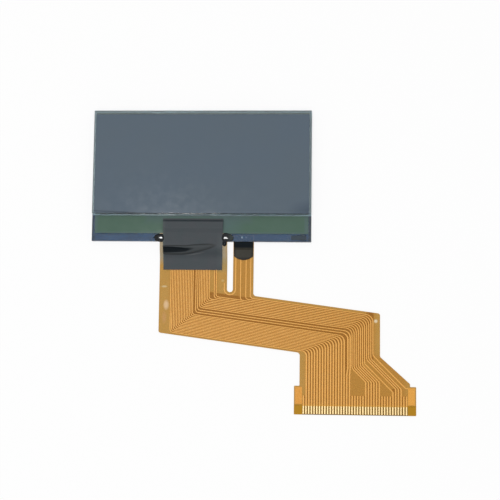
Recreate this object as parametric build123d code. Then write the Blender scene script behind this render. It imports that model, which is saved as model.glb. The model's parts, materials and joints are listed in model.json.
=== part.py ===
from build123d import *
import math
import os

# Chip-on-glass display with its flexible circuit, in millimetres.
# It lies with its screen up: X to the right, Y up the screen, Z towards the viewer.
# The origin is the middle of the display's rear face.

# Display cell
rear_glass_width = 41.54
rear_glass_height = 24.97
glass_thickness = 0.70
glass_chamfer = 0.06
front_glass_side_step = 0.05
ledge_depth = 5.17
cell_gap = 0.01
seal_inset = 0.41
seal_width = 0.80
fill_port_width = 3.0
fill_port_above_centre = 2.5

# Films on the glass
reflector_thickness = 0.13
polarizer_thickness = 0.21
polarizer_side_inset = 0.40
polarizer_top_inset = 0.78
polarizer_bottom_inset = 0.36
polarizer_corner_radius = 0.20
mask_film_thickness = 0.10
mask_film_gap = 0.20
mask_notch_gap = 0.02

# What lies on the ledge
coating_thickness = 0.02
coating_side_inset = 0.55
coating_top_gap = 0.32
coating_bottom_inset = 1.48
coating_under_tape = 0.15
coating_tab_gap = 0.02
chip_length = 9.5
chip_width = 1.2
chip_height = 0.30
chip_bond_thickness = 0.015
chip_to_ledge_edge = 2.54
chip_centre_x = -1.2
mark_width = 2.8
mark_height = 0.90
mark_side_inset = 0.95
mark_edge_inset = 0.33
mark_thickness = 0.015

# Layers of the flexible circuit
base_film_thickness = 0.040
copper_thickness = 0.035
cover_film_thickness = 0.040
bond_film_thickness = 0.040
stiffener_thickness = 0.225
stiffener_length = 5.0
plating_thickness = 0.010

# Outline of the flexible circuit
tab_left_x = -7.78
slot_width = 1.10
narrow_tab_width = 3.87
band_below_glass = 10.13
band_slope = 7.5
tail_centre_x = 29.02
tail_end_below_glass = 32.08
left_ear_width = 1.01
right_ear_width = 1.12
ear_length = 5.30
shoulder_rise = 0.55
outer_corner_radius = 0.45
inner_corner_radius = 0.60
small_corner_radius = 0.15

# The bonds and the step down from the ledge
tab_bond_depth = 1.55
base_film_on_ledge = 0.19
narrow_bond_depth = 1.15
cover_film_below_glass = 0.10
step_start_below_glass = 0.35
step_length = 3.60

# Contacts at the end of the tail
contact_count = 39
contact_pitch = 0.50
contact_width = 0.26
contact_end_margin = 0.15
contact_side_margin = 1.77
contact_bare_length = 1.60
stub_length = 3.55
ear_pad_contact_gap = 0.15
ear_pad_length = 3.15
ear_pad_side_inset = 0.22
ear_pad_top_inset = 0.22

# Conductors, counted from the left edge of the wide tab
left_bundle_count = 15
left_bundle_inset = 2.17
left_bundle_pitch = 0.30
pair_after_bundle = 0.56
pair_pitch_in_tab = 0.36
right_bundle_count = 7
right_bundle_after_pair = 0.36
right_bundle_pitch = 0.30
far_pair_after_bundle = 0.96
far_pair_pitch = 0.34
narrow_line_insets = (1.44, 2.45, 3.32)
tab_right_margin = 2.04
tab_trace_width = 0.15
band_trace_width = 0.14
first_bend_radius = 0.55
second_bend_inner_radius = 0.95
second_bend_outer_radius = 1.50
band_top_margin = 0.52
band_upper_pitch = 0.304
band_pair_pitch = 0.47
band_pair_apart = 0.51
band_lower_pitch = 0.2745
band_bottom_margin = 0.43
neck_pair_pitch = 0.43
neck_pair_shift = 0.18
neck_right_pitch = 0.386
neck_right_after_pair = 0.34
neck_right_margin = 1.32
neck_trace_width = 0.19
pair_shift_above_end = 8.60
pair_shift_length = 1.20
fan_angle = 45.0
fan_near_above_end = 6.10
fan_single_above_end = 4.30
fan_far_above_end = 4.90
fan_ear_above_end = 5.02
fan_start_radius = 0.80
fan_end_radius = 0.45
neck_corner_below_fan = 0.24
first_used_contact = 2
near_fan_contacts = range(24, 30)
far_fan_contacts = range(34, 38)
guard_inset = 0.50
guard_width = 0.16
guard_end_above_slot_end = 1.75

# Tape and sealants
tape_thickness = 0.08
tape_left_inset = 0.55
tape_right_inset = 0.80
tape_left_taper = 0.16
tape_right_taper = 0.21
tape_top_below_front_glass = 0.84
tape_bottom_below_glass = 5.33
tape_foot = 0.30
tape_over_chip = 0.02
sealant_height = 0.34
left_sealant_width = 2.00
left_sealant_depth = 1.50
left_sealant_above_edge = 0.53
right_sealant_width = 2.50
right_sealant_depth = 1.90
right_sealant_above_edge = 0.72
right_sealant_from_tape = 0.84
sealant_run_width = 0.70
sealant_run_depth = 1.30
sealant_run_height = 0.20
sealant_run_below_edge = 0.20
bead_length = 1.45
bead_height = 0.62
bead_fullness = 0.72
shield_thickness = 0.05
shield_side_length = 1.25
shield_bulge = 0.72
shield_side_inset = 0.12

# Places worked out from the sizes
glass_right = rear_glass_width / 2
glass_top = rear_glass_height / 2
glass_bottom = -glass_top
front_glass_bottom = glass_bottom + ledge_depth
front_glass_right = glass_right - front_glass_side_step

polarizer_z = reflector_thickness
rear_glass_z = polarizer_z + polarizer_thickness
ledge_z = rear_glass_z + glass_thickness
front_glass_z = ledge_z + cell_gap
front_glass_top_z = front_glass_z + glass_thickness

copper_height = base_film_thickness
cover_height = copper_height + copper_thickness
film_top_height = cover_height + cover_film_thickness
film_z = rear_glass_z - bond_film_thickness - cover_height
copper_z = film_z + copper_height
cover_z = film_z + cover_height
film_top_z = film_z + film_top_height

# A pair stands beside each bundle, and the narrow tab's first line joins another conductor.
conductor_count = left_bundle_count + 2 + right_bundle_count + 2 + len(narrow_line_insets) - 1
above_pair_count = conductor_count - left_bundle_count - 2
bundle_span = left_bundle_pitch * (left_bundle_count - 1) + right_bundle_pitch * (right_bundle_count - 1)
pair_span = pair_after_bundle + pair_pitch_in_tab + right_bundle_after_pair
far_pair_span = far_pair_after_bundle + far_pair_pitch
tab_width = left_bundle_inset + bundle_span + pair_span + far_pair_span + tab_right_margin
band_above_pair = band_top_margin + band_upper_pitch * (above_pair_count - 1) + band_pair_apart
band_upper_span = band_above_pair + band_pair_pitch
band_lower_span = band_pair_apart + band_lower_pitch * (left_bundle_count - 1)
band_width = band_upper_span + band_lower_span + band_bottom_margin

slope = math.radians(band_slope)
slot_left = tab_left_x + tab_width
slot_right = slot_left + slot_width
slot_middle = (slot_left + slot_right) / 2
narrow_right = slot_right + narrow_tab_width
slot_end = glass_bottom - band_below_glass + math.tan(slope) * (narrow_right - slot_left)
slot_round_y = slot_end + slot_width / 2
narrow_top = glass_bottom + narrow_bond_depth
tab_top = glass_bottom + tab_bond_depth

contact_span = contact_pitch * (contact_count - 1)
first_contact_x = tail_centre_x - contact_span / 2
tail_left = first_contact_x - contact_side_margin
tail_right = tail_left + contact_span + 2 * contact_side_margin
tail_end = glass_bottom - tail_end_below_glass
ear_top = tail_end + ear_length
cover_end = tail_end + contact_bare_length
contact_end = tail_end + contact_end_margin
ear_pad_width = contact_side_margin - contact_width / 2 - ear_pad_contact_gap - ear_pad_side_inset
right_pad_left = tail_right - ear_pad_side_inset - ear_pad_width

last_bundle_contact = first_used_contact + left_bundle_count - 1
neck_pair_x = first_contact_x + contact_pitch * last_bundle_contact + neck_pair_shift
neck_right_x = neck_pair_x + neck_pair_pitch + neck_right_after_pair
last_neck_x = neck_right_x + neck_right_pitch * (above_pair_count - 1)
neck_left = tail_left + left_ear_width
neck_right = last_neck_x + neck_right_margin

fan_run = math.tan(math.radians(fan_angle))
ear_bend_x = right_pad_left - fan_end_radius
ear_bend_y = tail_end + fan_ear_above_end
ear_fan_start = ear_bend_y + (ear_bend_x - last_neck_x) * fan_run
neck_end = ear_fan_start - neck_corner_below_fan

tape_left_x = tab_left_x + tape_left_inset
tape_top_width = tab_width - tape_left_inset - tape_right_inset
tape_right_x = tape_left_x + tape_top_width

step_drop = ledge_z - film_z
step_angle = 2 * math.atan(step_drop / step_length)
step_radius = step_length / (2 * math.sin(step_angle))
step_start = glass_bottom - step_start_below_glass
flat_start = step_start - step_length


def slab(left, right, low, high, bottom, top):
    """A rectangular plate between the given limits."""
    return Pos(left, low, bottom) * Box(right - left, high - low, top - bottom, align=Align.MIN)


def sheet(corners, radii, bottom, top):
    """A flat sheet cut to a closed outline with rounded corners."""
    outline = make_face(FilletPolyline(*corners, radius=radii, close=True))
    return extrude(Pos(0, 0, bottom) * outline, amount=top - bottom, dir=(0, 0, 1))


def band_top(x):
    """Height in Y of the slanting band's upper edge."""
    return glass_bottom - band_below_glass - math.tan(slope) * (x - narrow_right)


def band_line(inset, x):
    """Height in Y of a line that lies the given distance inside the band's upper edge."""
    return band_top(x) - inset / math.cos(slope)


def step_line(height, start):
    """The path over the glass edge, the given height above the film's underside, in the YZ plane."""
    upper = step_radius + height
    lower = step_radius - height
    half = step_angle / 2
    upper_centre = ledge_z - step_radius
    lower_centre = film_z + step_radius
    join = (step_start - upper * math.sin(step_angle), upper_centre + upper * math.cos(step_angle))
    upper_middle = (step_start - upper * math.sin(half), upper_centre + upper * math.cos(half))
    lower_middle = (flat_start + lower * math.sin(half), lower_centre - lower * math.cos(half))
    lip = (step_start, ledge_z + height)
    foot = (flat_start, film_z + height)
    ledge_run = Line((start, ledge_z + height), lip)
    return [ledge_run, ThreePointArc(lip, upper_middle, join), ThreePointArc(join, lower_middle, foot)]


def step_layer(low, high, start, left, right):
    """One layer of the wide tab from the ledge down to the flat, between two heights."""
    upper = step_line(high, start)
    lower = step_line(low, start)
    ends = [Line(upper[0] @ 0, lower[0] @ 0), Line(upper[-1] @ 1, lower[-1] @ 1)]
    profile = make_face(upper + lower + ends)
    return extrude(Plane.YZ.offset(left) * profile, amount=right - left, dir=(1, 0, 0))


def film_plan(narrow_end, end):
    """Corners and radii of the circuit's flat outline, with the slot still closed."""
    ear_inner = neck_right_foot()
    corners = [
        (tab_left_x, flat_start),
        (tab_left_x, band_line(band_width, tab_left_x)),
        (neck_left, band_line(band_width, neck_left)),
        (neck_left, ear_top),
        (tail_left, ear_top),
        (tail_left, end),
        (tail_right, end),
        (tail_right, ear_top),
        (ear_inner[0], ear_top),
        ear_inner,
        (neck_right, neck_end),
        (neck_right, band_top(neck_right)),
        (narrow_right, band_top(narrow_right)),
        (narrow_right, narrow_end),
        (slot_middle, narrow_end),
        (slot_middle, flat_start),
    ]
    outer = outer_corner_radius
    inner = inner_corner_radius
    small = small_corner_radius
    radii = [0, outer, inner, small, small, small, small, small, small, small, inner, outer, inner, 0, 0, 0]
    return corners, radii


def neck_right_foot():
    """Where the neck's slanting right edge meets the right ear."""
    return (tail_right - right_ear_width, ear_top + shoulder_rise)


def film(low, high, ledge_start, narrow_end, end):
    """One full film of the circuit: the stepped wide tab, the flat part and the slot between the tabs."""
    corners, radii = film_plan(narrow_end, end)
    flat = sheet(corners, radii, film_z + low, film_z + high)
    stepped = step_layer(low, high, ledge_start, tab_left_x, slot_left)
    slot = slab(slot_left, slot_right, slot_round_y, narrow_end + 1, film_z, ledge_z)
    slot += Pos(slot_middle, slot_round_y, film_z) * Cylinder(
        slot_width / 2, ledge_z - film_z, align=(Align.CENTER, Align.CENTER, Align.MIN)
    )
    return stepped + (flat - slot)


def strip_side(points, widths, side):
    """Corner points of one edge of a strip whose straight runs each have their own width."""
    lines = []
    for start, stop, width in zip(points, points[1:], widths):
        direction = (Vector(*stop) - Vector(*start)).normalized()
        normal = Vector(-direction.Y, direction.X)
        shift = normal * (side * width / 2)
        lines.append((Vector(*start) + shift, Vector(*stop) + shift, direction))
    corners = [lines[0][0]]
    for before, after in zip(lines, lines[1:]):
        gap = after[0] - before[0]
        turn = before[2].X * after[2].Y - before[2].Y * after[2].X
        along = (gap.X * after[2].Y - gap.Y * after[2].X) / turn
        corners.append(before[0] + before[2] * along)
    corners.append(lines[-1][1])
    return corners


def strip(points, widths, radii):
    """A flat copper track along straight runs joined by arcs."""
    left_radii = [0]
    right_radii = [0]
    for index, radius in enumerate(radii):
        before = Vector(*points[index + 1]) - Vector(*points[index])
        after = Vector(*points[index + 2]) - Vector(*points[index + 1])
        turn = math.copysign(1, before.X * after.Y - before.Y * after.X)
        half = (widths[index] + widths[index + 1]) / 4
        left_radii.append(radius - turn * half)
        right_radii.append(radius + turn * half)
    left = strip_side(points, widths, 1)
    right = strip_side(points, widths, -1)
    corners = left + right[::-1]
    all_radii = left_radii + [0, 0] + right_radii[::-1]
    return sheet(corners, all_radii, copper_z, copper_z + copper_thickness)


def contact_x(number):
    """Middle of a contact, counted from the left."""
    return first_contact_x + contact_pitch * (number - 1)


def tab_positions():
    """Middle of each conductor where it enters the circuit."""
    xs = [tab_left_x + left_bundle_inset + left_bundle_pitch * i for i in range(left_bundle_count)]
    xs.append(xs[-1] + pair_after_bundle)
    xs.append(xs[-1] + pair_pitch_in_tab)
    first = xs[-1] + right_bundle_after_pair
    xs += [first + right_bundle_pitch * i for i in range(right_bundle_count)]
    xs.append(xs[-1] + far_pair_after_bundle)
    xs.append(xs[-1] + far_pair_pitch)
    xs += [slot_right + inset for inset in narrow_line_insets[1:]]
    return xs


def band_insets():
    """Distance of each conductor from the band's upper edge."""
    lowest = band_upper_span + band_lower_span
    lower = [lowest - band_lower_pitch * i for i in range(left_bundle_count)]
    first_above = band_above_pair - band_pair_apart
    upper = [first_above - band_upper_pitch * i for i in range(above_pair_count)]
    return lower + [band_upper_span, band_above_pair] + upper


def neck_positions():
    """Middle of each conductor in the neck above the tail."""
    xs = [contact_x(first_used_contact + i) for i in range(left_bundle_count)]
    xs += [neck_pair_x, neck_pair_x + neck_pair_pitch]
    xs += [neck_right_x + neck_right_pitch * i for i in range(above_pair_count)]
    return xs


def contact_numbers():
    """The contact that each conductor runs to; the last one runs to the right ear instead."""
    bundle_and_pair = range(first_used_contact, first_used_contact + left_bundle_count + 2)
    return [*bundle_and_pair, *near_fan_contacts, *far_fan_contacts]


def fan_level(contact):
    """Height in Y where the conductor to this contact ends its slanting run."""
    if contact in near_fan_contacts:
        return tail_end + fan_near_above_end
    if contact == far_fan_contacts[0]:
        return tail_end + fan_single_above_end
    return tail_end + fan_far_above_end


def second_radius(index):
    """Radius of a conductor's bend from the band into the neck."""
    share = index / (conductor_count - 1)
    return second_bend_inner_radius + share * (second_bend_outer_radius - second_bend_inner_radius)


def tail_route(index, neck_x, contacts):
    """Points, widths and radii of a conductor from the neck down to its contact or ear pad."""
    if index < left_bundle_count:
        return [(neck_x, contact_end)], [contact_width], []
    radii = [fan_start_radius, fan_end_radius]
    if index == conductor_count - 1:
        points = [(neck_x, ear_fan_start), (ear_bend_x, ear_bend_y), (right_pad_left, ear_bend_y)]
        return points, [neck_trace_width] * 3, radii
    target = contact_x(contacts[index])
    if index < left_bundle_count + 2:
        top = tail_end + pair_shift_above_end
        points = [(neck_x, top), (target, top - pair_shift_length), (target, contact_end)]
        return points, [contact_width] * 3, [fan_start_radius] * 2
    level = fan_level(contacts[index])
    points = [(neck_x, level + (target - neck_x) * fan_run), (target, level), (target, contact_end)]
    return points, [neck_trace_width, neck_trace_width, contact_width], radii


def ear_pad(left):
    """The copper pad of one ear."""
    top = ear_top - ear_pad_top_inset
    return slab(left, left + ear_pad_width, top - ear_pad_length, top, copper_z, copper_z + copper_thickness)


def conductor(index, tab_xs, insets, neck_xs, contacts):
    """One etched conductor, from its bond to its contact."""
    tab_x = tab_xs[index]
    neck_x = neck_xs[index]
    from_narrow_tab = tab_x > slot_right
    start = (tab_x, narrow_top if from_narrow_tab else flat_start)
    turn = (tab_x, band_line(insets[index], tab_x))
    bend = (neck_x, band_line(insets[index], neck_x))
    tail_points, tail_widths, tail_radii = tail_route(index, neck_x, contacts)
    points = [start, turn, bend] + tail_points
    widths = [tab_trace_width, band_trace_width] + tail_widths
    radii = [first_bend_radius, second_radius(index)] + tail_radii
    track = strip(points, widths, radii)
    if not from_narrow_tab:
        left = tab_x - tab_trace_width / 2
        right = tab_x + tab_trace_width / 2
        track += step_layer(copper_height, cover_height, tab_top, left, right)
    if index == conductor_count - 1:
        track += ear_pad(right_pad_left)
    if index == conductor_count - len(narrow_line_insets):
        track += narrow_branch(insets[index])
    return track


def narrow_branch(inset):
    """The branch that brings the narrow tab's second line into the shared conductor."""
    x = slot_right + narrow_line_insets[0]
    corner = (x, band_line(inset, x))
    beyond = x + 3 * first_bend_radius
    points = [(x, narrow_top), corner, (beyond, band_line(inset, beyond))]
    return strip(points, [tab_trace_width, band_trace_width], [first_bend_radius])


def guard_trace():
    """The unconnected line that runs down the narrow tab and round the end of the slot."""
    right = slot_right + guard_inset
    left = slot_left - guard_inset
    low = slot_round_y
    radius = (right - left) / 2
    top = copper_z + copper_thickness
    half = guard_width / 2
    down = slab(right - half, right + half, low, narrow_top, copper_z, top)
    up = slab(left - half, left + half, low, slot_end + guard_end_above_slot_end, copper_z, top)
    ring = Circle(radius + half) - Circle(radius - half)
    ring -= Pos(0, radius) * Rectangle(4 * radius, 2 * radius)
    half_ring = extrude(Pos(slot_middle, low, copper_z) * ring, amount=copper_thickness, dir=(0, 0, 1))
    return down + half_ring + up


def contact_strip(number, length, bottom, thickness):
    """One straight contact of the given length at the end of the tail."""
    left = contact_x(number) - contact_width / 2
    return slab(left, left + contact_width, contact_end, contact_end + length, bottom, bottom + thickness)


def contact_stubs(contacts):
    """The contacts that no conductor reaches."""
    used = set(contacts)
    length = stub_length - contact_end_margin
    spare = [n for n in range(1, contact_count + 1) if n not in used]
    return Compound(children=[contact_strip(n, length, copper_z, copper_thickness) for n in spare])


def contact_plating():
    """The plated faces of all contacts, bare of cover film."""
    length = cover_end - contact_end
    return Compound(
        children=[contact_strip(n, length, cover_z, plating_thickness) for n in range(1, contact_count + 1)]
    )


def stiffener():
    """The stiff strip behind the contacts."""
    top = tail_end + stiffener_length
    corners = [(tail_left, tail_end), (tail_right, tail_end), (tail_right, top), (tail_left, top)]
    return sheet(corners, [small_corner_radius] * 4, film_z - stiffener_thickness, film_z)


def glass_plate(right, low, bottom, chamfered_face):
    """One glass of the cell, with its outer edges eased."""
    plate = slab(-right, right, low, glass_top, bottom, bottom + glass_thickness)
    edges = plate.faces().sort_by(Axis.Z)[chamfered_face].edges()
    return chamfer(edges, glass_chamfer)


def polarizer(bottom, thickness):
    """A film over the viewing area."""
    right = front_glass_right - polarizer_side_inset
    top = glass_top - polarizer_top_inset
    low = front_glass_bottom + polarizer_bottom_inset
    corners = [(-right, low), (right, low), (right, top), (-right, top)]
    return sheet(corners, [polarizer_corner_radius] * 4, bottom, bottom + thickness)


def seal_limits(inset):
    """The rectangle that lies the given distance inside the front glass."""
    right = front_glass_right - inset
    return -right, right, front_glass_bottom + inset, glass_top - inset


def port_block():
    """The break in the seal through which the cell is filled."""
    outer = front_glass_right - seal_inset
    low = fill_port_above_centre - fill_port_width / 2
    return slab(outer - seal_width, outer, low, low + fill_port_width, ledge_z, front_glass_z)


def perimeter_seal():
    outer = slab(*seal_limits(seal_inset), ledge_z, front_glass_z)
    inner = slab(*seal_limits(seal_inset + seal_width), ledge_z, front_glass_z)
    return outer - inner - port_block()


def liquid_crystal():
    return slab(*seal_limits(seal_inset + seal_width), ledge_z, front_glass_z)


def mask_film():
    """The dark film behind the ledge, notched round the narrow tab."""
    bottom = rear_glass_z - mask_film_thickness
    top = front_glass_bottom + polarizer_bottom_inset - mask_film_gap
    film_plate = slab(-glass_right, glass_right, glass_bottom, top, bottom, rear_glass_z)
    left = slot_right - mask_notch_gap
    right = narrow_right + mask_notch_gap
    notch = slab(left, right, glass_bottom - 1, narrow_top + mask_notch_gap, bottom, rear_glass_z)
    return film_plate - notch


def chip_limits():
    left = chip_centre_x - chip_length / 2
    low = glass_bottom + chip_to_ledge_edge
    return left, left + chip_length, low, low + chip_width


def lead_coating():
    """The coating over the leads on the ledge, open under the tape and round the wide tab."""
    right = glass_right - coating_side_inset
    top = front_glass_bottom - coating_top_gap
    low = glass_bottom + coating_bottom_inset
    upper = ledge_z + coating_thickness
    coat = slab(-right, right, low, top, ledge_z, upper)
    open_top = front_glass_bottom - tape_top_below_front_glass - tape_foot
    open_left = tape_left_x + coating_under_tape
    open_right = tape_right_x - coating_under_tape
    gap = coating_tab_gap
    under_tape = slab(open_left, open_right, low - 1, open_top, ledge_z, upper)
    round_tab = slab(tab_left_x - gap, slot_left + gap, low - 1, tab_top + gap, ledge_z, upper)
    return coat - under_tape - round_tab


def ledge_mark():
    """A plain dark patch near the ledge's right end."""
    right = glass_right - mark_side_inset
    low = glass_bottom + mark_edge_inset
    return slab(right - mark_width, right, low, low + mark_height, ledge_z, ledge_z + mark_thickness)


def tape_line(lift):
    """The tape's path from the ledge, over the chip and down the step, in the YZ plane."""
    top = front_glass_bottom - tape_top_below_front_glass
    chip = chip_limits()
    on_coating = ledge_z + coating_thickness + lift
    on_chip = ledge_z + chip_bond_thickness + chip_height + tape_over_chip + lift
    on_film = film_top_height + lift
    ridge = [
        (top, on_coating),
        (top - tape_foot, on_coating),
        (chip[3] + tape_over_chip, on_chip),
        (chip[2] - tape_over_chip, on_chip),
        (tab_top + tape_over_chip, ledge_z + on_film),
    ]
    over_chip = Polyline(*ridge)
    step = step_line(on_film, ridge[-1][0])
    low = glass_bottom - tape_bottom_below_glass
    flat = Line((flat_start, film_z + on_film), (low, film_z + on_film))
    return over_chip.edges() + step + [flat]


def light_shield_tape():
    """The black tape over the chip, the bond and the step, a little narrower at its lower end."""
    lower = tape_line(0)
    upper = tape_line(tape_thickness)
    low = glass_bottom - tape_bottom_below_glass
    top = front_glass_bottom - tape_top_below_front_glass
    on_coating = ledge_z + coating_thickness
    ends = [
        Line((top, on_coating), (top, on_coating + tape_thickness)),
        Line((low, film_top_z), (low, film_top_z + tape_thickness)),
    ]
    profile = make_face(list(lower) + list(upper) + ends)
    tape = extrude(Plane.YZ.offset(tape_left_x) * profile, amount=tape_top_width, dir=(1, 0, 0))
    corners = [
        (tape_left_x, top),
        (tape_right_x, top),
        (tape_right_x - tape_right_taper, low),
        (tape_left_x + tape_left_taper, low),
    ]
    plan = extrude(make_face(Polyline(*corners, close=True)), amount=3 * ledge_z, dir=(0, 0, 1))
    return tape & plan


def blob(x, y, z, width, depth, height):
    """A smooth drop of sealant, given by its full width and depth and its height above the middle."""
    return Pos(x, y, z) * scale(Sphere(1), by=(width / 2, depth / 2, height))


def tab_block():
    """The room that the wide tab and its tape take up on the ledge and down the step."""
    below = film_z - ledge_z
    tab = step_layer(below, film_top_height, tab_top, tab_left_x, slot_left)
    tape = slab(tape_left_x, tape_right_x, flat_start, front_glass_bottom, film_z, front_glass_top_z)
    return tab + tape


def display_block():
    """The room that the rear glass and what is below it take up."""
    return slab(-glass_right, glass_right, glass_bottom, glass_top, 0, ledge_z)


def coating_block():
    """The room that the coating takes up."""
    low = glass_bottom + coating_bottom_inset
    return slab(-glass_right, glass_right, low, glass_top, ledge_z, ledge_z + coating_thickness)


def bond_sealant_left():
    """The drop of sealant at the left corner of the wide tab's bond."""
    y = glass_bottom + left_sealant_above_edge
    drop = blob(tab_left_x, y, ledge_z, left_sealant_width, left_sealant_depth, sealant_height)
    return drop - display_block() - tab_block() - coating_block()


def bond_sealant_right():
    """The drop at the right corner of the bond, which also runs down the tab between tape and slot."""
    x = tape_right_x + right_sealant_from_tape
    y = glass_bottom + right_sealant_above_edge
    drop = blob(x, y, ledge_z, right_sealant_width, right_sealant_depth, sealant_height)
    run_x = (tape_right_x + slot_left) / 2
    run_y = glass_bottom - sealant_run_below_edge
    run_z = ledge_z + film_top_height
    run = blob(run_x, run_y, run_z, sealant_run_width, sealant_run_depth, sealant_run_height)
    return drop + run - display_block() - tab_block() - coating_block()


def narrow_sealant():
    """The glossy bead in the corner between the glass edge and the narrow tab."""
    low = glass_bottom - bead_length
    base = (low, film_top_z)
    inner = (glass_bottom, film_top_z)
    crest = (glass_bottom, film_top_z + bead_height)
    middle = ((low + glass_bottom) / 2, film_top_z + bead_height * bead_fullness)
    profile = make_face([Line(base, inner), Line(inner, crest), ThreePointArc(crest, middle, base)])
    width = narrow_tab_width - 2 * shield_side_inset
    return extrude(Plane.YZ.offset(slot_right + shield_side_inset) * profile, amount=width, dir=(1, 0, 0))


def narrow_shield():
    """The thin dark coat below the bead, with a rounded lower end."""
    left = slot_right + shield_side_inset
    right = narrow_right - shield_side_inset
    top = glass_bottom - bead_length
    low = top - shield_side_length
    middle = ((left + right) / 2, low - shield_bulge)
    outline = make_face(
        [
            Line((left, low), (left, top)),
            Line((left, top), (right, top)),
            Line((right, top), (right, low)),
            ThreePointArc((right, low), middle, (left, low)),
        ]
    )
    return extrude(Pos(0, 0, film_top_z) * outline, amount=shield_thickness, dir=(0, 0, 1))


def narrow_bond_film():
    """The bonding film between the narrow tab and the underside of the glass."""
    return slab(slot_right, narrow_right, glass_bottom, narrow_top, cover_z, rear_glass_z)


def display_parts():
    """The cell and what is laid on its glass."""
    chip_bond_top = ledge_z + chip_bond_thickness
    chip = chip_limits()
    tab_bond_low = glass_bottom + base_film_on_ledge
    bond_top = ledge_z + base_film_thickness
    front = glass_plate(front_glass_right, front_glass_bottom, front_glass_z, -1)
    return {
        "rear_reflector_film": polarizer(0, reflector_thickness),
        "rear_polarizer": polarizer(polarizer_z, polarizer_thickness),
        "rear_glass": glass_plate(glass_right, glass_bottom, rear_glass_z, 0),
        "perimeter_seal": perimeter_seal(),
        "fill_port_plug": port_block(),
        "liquid_crystal_layer": liquid_crystal(),
        "front_glass": front,
        "front_polarizer": polarizer(front_glass_top_z, polarizer_thickness),
        "ledge_mask_film": mask_film(),
        "ledge_lead_coating": lead_coating(),
        "ledge_mark": ledge_mark(),
        "chip_bond_film": slab(*chip, ledge_z, chip_bond_top),
        "driver_chip": slab(*chip, chip_bond_top, chip_bond_top + chip_height),
        "wide_tab_bond_film": slab(tab_left_x, slot_left, tab_bond_low, tab_top, ledge_z, bond_top),
        "narrow_tab_bond_film": narrow_bond_film(),
        "light_shield_tape": light_shield_tape(),
        "bond_sealant_left": bond_sealant_left(),
        "bond_sealant_right": bond_sealant_right(),
        "narrow_tab_sealant": narrow_sealant(),
        "narrow_tab_shield": narrow_shield(),
    }


def circuit_parts():
    """The films, copper and contacts of the flexible circuit."""
    contacts = contact_numbers()
    tab_xs = tab_positions()
    insets = band_insets()
    neck_xs = neck_positions()
    base_start = glass_bottom + base_film_on_ledge
    narrow_cover = glass_bottom - cover_film_below_glass
    parts = {
        "base_film": film(0, copper_height, base_start, narrow_top, tail_end),
        "cover_film": film(cover_height, film_top_height, tab_top, narrow_cover, cover_end),
        "contact_stiffener": stiffener(),
        "contact_stubs": contact_stubs(contacts),
        "contact_plating": contact_plating(),
        "left_ear_pad": ear_pad(tail_left + ear_pad_side_inset),
        "slot_guard_trace": guard_trace(),
    }
    for index in range(conductor_count):
        parts[f"conductor_{index + 1:02d}"] = conductor(index, tab_xs, insets, neck_xs, contacts)
    return parts


os.makedirs("parts", exist_ok=True)
for name, solid in {**display_parts(), **circuit_parts()}.items():
    export_step(solid, f"parts/{name}.step")
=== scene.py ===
import json
import math

import bmesh
import bpy
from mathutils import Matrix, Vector


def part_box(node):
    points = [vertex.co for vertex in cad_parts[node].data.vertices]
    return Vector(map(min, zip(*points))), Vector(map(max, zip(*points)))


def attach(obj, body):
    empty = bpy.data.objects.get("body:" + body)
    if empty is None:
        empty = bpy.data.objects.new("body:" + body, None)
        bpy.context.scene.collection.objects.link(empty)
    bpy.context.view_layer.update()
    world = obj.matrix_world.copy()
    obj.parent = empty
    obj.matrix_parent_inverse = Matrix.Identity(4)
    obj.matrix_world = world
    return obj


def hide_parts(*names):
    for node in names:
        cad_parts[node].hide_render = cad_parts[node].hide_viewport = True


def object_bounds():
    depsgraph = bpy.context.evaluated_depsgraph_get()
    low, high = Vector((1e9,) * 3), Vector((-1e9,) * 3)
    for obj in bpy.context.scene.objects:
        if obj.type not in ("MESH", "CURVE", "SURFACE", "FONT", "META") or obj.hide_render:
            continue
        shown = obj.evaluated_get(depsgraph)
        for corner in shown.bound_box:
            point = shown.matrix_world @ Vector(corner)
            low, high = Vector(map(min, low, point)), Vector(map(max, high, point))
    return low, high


# Looks of the chip-on-glass display and its flexible circuit. Sizes named _mm are millimetres
# in the frame of the part; everything in the scene is in metres.

MM = 0.001

# Camera: looks down on the flat-lying part from a little below and to the right of it
camera_lens_mm = 85.0
camera_at_mm = (21.965, -38.329, 221.026)
camera_turn_degrees = (6.325, 3.217, 0.715)
camera_sensor_mm = 36.0
camera_sees_from_m = 0.01
camera_sees_to_m = 10.0

# Light
world_light = 0.66
key_light_at_mm = (-54.0, -25.0, 420.0)
key_light_aim_mm = (8.0, -14.0, 0.0)
key_light_size_mm = (118.0, 34.0)
key_light_watts = 0.63
floor_size_mm = 1400.0
floor_drop_mm = 0.02
floor_colour = (0.92, 0.92, 0.92, 1)
floor_glow_share = 0.85

# Glass plates: rounding of their edges, a level between the two, the front plate's face and its sides
glass_arris_mm = 0.03
arris_steps = 3
between_plates_mm = 1.045
front_face_mm = {"Left": -20.70, "Right": 20.70, "Low": -7.29, "High": 12.47}
side_dullness = 0.32

# Upper edge of the dark film behind the ledge, a little way up under the front glass
mask_film_top_mm = -6.96
film_edge_mm = 0.1

# How far the front polarizer reaches further down than its node, almost to the glass edge
polarizer_reach_mm = 0.28

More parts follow.
